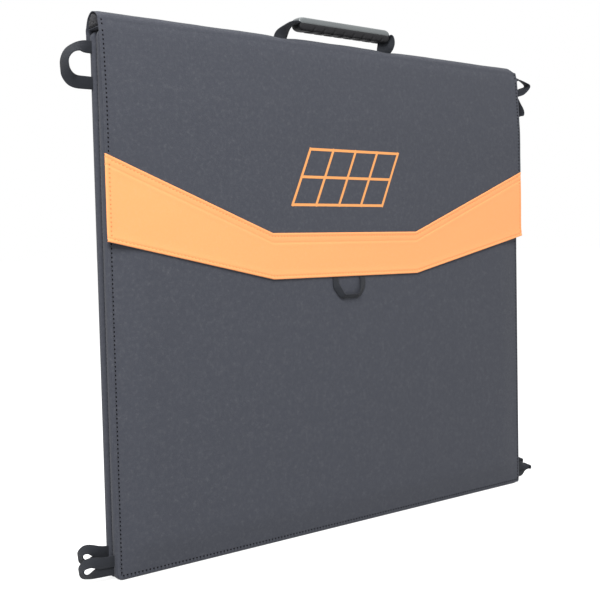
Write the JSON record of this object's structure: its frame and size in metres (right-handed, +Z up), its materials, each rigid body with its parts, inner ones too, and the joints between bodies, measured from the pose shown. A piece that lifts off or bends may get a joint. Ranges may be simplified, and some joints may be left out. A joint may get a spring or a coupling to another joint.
{
  "type": "folding solar case",
  "caption": "Folding fabric solar panel case with padded spine, ribbed carry handle, banded pocket flap and fold-out stands.",
  "frame": {"origin": "middle of the closed case at the bottom edges, between the two halves", "axes": "+X to the right seen from the flap side, +Y towards the half with the stands, +Z up to the handle"},
  "size_m": [0.684, 0.0377, 0.5745],
  "materials": {
    "grey_cloth": "matte woven polyester",
    "orange_cloth": "matte woven polyester",
    "orange_print": "matte printed ink",
    "webbing": "matte ribbed webbing",
    "silicon": "dark blue-black cells with fine lines",
    "clear_film": "clear dimpled film",
    "backsheet": "matte black sheet",
    "tinned_copper": "dull tinned",
    "nickel": "plated",
    "foam": "closed cell foam sheet",
    "felt": "fuzzy felt",
    "grip_rubber": "matte ribbed rubber",
    "grip_plastic": "smooth satin",
    "box_plastic": "fine spark texture",
    "stiffener": "smooth sheet"
  },
  "bodies": {
    "flap": {"flap_band": "orange_cloth", "flap_magnet_left": "nickel", "flap_magnet_right": "nickel", "flap_print": "orange_print", "flap_sheet": "grey_cloth"},
    "front_panel": {"front_backsheet": "backsheet", "front_binding": "grey_cloth", "front_board": "stiffener", "front_bus_ribbons": "tinned_copper", "front_cells": "silicon", "front_film": "clear_film", "front_foam": "foam", "front_inner_frame": "grey_cloth", "front_loop_bottom_left": "webbing", "front_loop_bottom_right": "webbing", "front_magnet_left": "nickel", "front_magnet_right": "nickel", "front_skin": "grey_cloth", "junction_box_base": "box_plastic", "junction_box_diodes": "box_plastic", "junction_box_gland": "box_plastic", "junction_box_lid": "box_plastic", "pocket_front": "grey_cloth", "pocket_keeper_left": "nickel", "pocket_keeper_right": "nickel"},
    "handle": {"grip_base": "grip_rubber", "grip_top": "grip_plastic", "handle_webbing": "webbing"},
    "spine": {"handle_anchor_left": "webbing", "handle_anchor_right": "webbing", "spine_cover": "grey_cloth", "spine_filler": "felt", "spine_jumper_left": "tinned_copper", "spine_jumper_right": "tinned_copper", "spine_lining": "grey_cloth"},
    "pull_tab": {"pull_tab": "webbing"},
    "rear_panel": {"rear_backsheet": "backsheet", "rear_binding": "grey_cloth", "rear_board": "stiffener", "rear_bus_ribbons": "tinned_copper", "rear_cells": "silicon", "rear_film": "clear_film", "rear_foam": "foam", "rear_inner_frame": "grey_cloth", "rear_loop_bottom_left": "webbing", "rear_loop_bottom_right": "webbing", "rear_loop_top_left": "webbing", "rear_loop_top_right": "webbing", "rear_magnet_left": "nickel", "rear_magnet_right": "nickel", "rear_skin": "grey_cloth", "stand_hinge_tape": "grey_cloth"},
    "stand_left": {"stand_left_board": "stiffener", "stand_left_sleeve": "grey_cloth", "stand_left_strap": "webbing"},
    "stand_right": {"stand_right_board": "stiffener", "stand_right_sleeve": "grey_cloth", "stand_right_strap": "webbing"}
  },
  "joints": [
    {"name": "spine_fold", "type": "hinge", "parent": "rear_panel", "child": "spine", "pos_m": [0, 0.0125, 0.5335], "axis": [-1, 0, 0], "range_deg": [0, 90]},
    {"name": "front_fold", "type": "hinge", "parent": "spine", "child": "front_panel", "pos_m": [0, -0.0125, 0.5335], "axis": [-1, 0, 0], "range_deg": [0, 90]},
    {"name": "flap_lift", "type": "hinge", "parent": "front_panel", "child": "flap", "pos_m": [0, -0.0132, 0.5329], "axis": [-1, 0, 0], "range_deg": [0, 85]},
    {"name": "pull_tab_lift", "type": "hinge", "parent": "flap", "child": "pull_tab", "pos_m": [0, -0.0185, 0.2872], "axis": [-1, 0, 0], "range_deg": [0, 90]},
    {"name": "handle_tilt", "type": "hinge", "parent": "spine", "child": "handle", "pos_m": [0, 0, 0.5515], "axis": [-1, 0, 0], "range_deg": [-65, 65], "stiffness_Nm_per_rad": 0.02},
    {"name": "stand_left_swing", "type": "hinge", "parent": "rear_panel", "child": "stand_left", "pos_m": [0, 0.0127, 0.47], "axis": [1, 0, 0], "range_deg": [0, 50]},
    {"name": "stand_right_swing", "type": "hinge", "parent": "rear_panel", "child": "stand_right", "pos_m": [0, 0.0127, 0.47], "axis": [1, 0, 0], "range_deg": [0, 50]}
  ],
  "couplings": [
    {"joint": "front_fold", "follows": "spine_fold", "ratio": 1}
  ]
}
